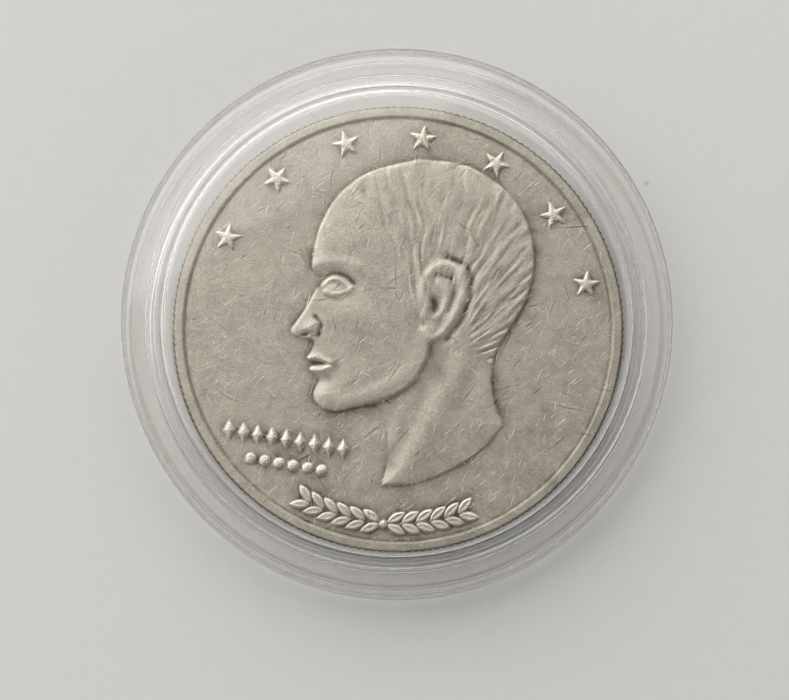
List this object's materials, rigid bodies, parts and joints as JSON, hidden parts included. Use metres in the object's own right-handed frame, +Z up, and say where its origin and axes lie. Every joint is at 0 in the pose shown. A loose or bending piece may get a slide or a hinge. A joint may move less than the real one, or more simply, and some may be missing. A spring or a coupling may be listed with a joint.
{
  "type": "coin capsule",
  "caption": "Clear round two-piece coin capsule with recessed windows, a stepped snap rim and an inner wall that holds a large clad coin.",
  "frame": {"origin": "centre of the plane that the foot ring stands on, on the capsule's axis", "axes": "+Z up out of the lid window; +Y towards the top of the coin's portrait; +X to the right of it"},
  "size_m": [0.0464, 0.0464, 0.006],
  "materials": {
    "base_clear": "clear moulded polystyrene, lightly handled",
    "lid_clear": "clear moulded polystyrene, lightly handled",
    "obverse_clad": "worn cupronickel with grey toning",
    "core_copper": "dull brown copper",
    "reverse_clad": "worn cupronickel with grey toning"
  },
  "bodies": {
    "base": {"base_shell": "base_clear"},
    "lid": {"lid_shell": "lid_clear"},
    "coin": {"coin_obverse": "obverse_clad", "coin_core": "core_copper", "coin_reverse": "reverse_clad"}
  },
  "joints": [
    {"name": "lid_lift", "type": "slide", "parent": "base", "child": "lid", "axis": [0, 0, 1], "range_m": [0, 0.03]},
    {"name": "coin_lift", "type": "slide", "parent": "base", "child": "coin", "axis": [0, 0, 1], "range_m": [0, 0.015]}
  ],
  "couplings": [
    {"joint": "coin_lift", "follows": "lid_lift", "ratio": 0.5}
  ]
}
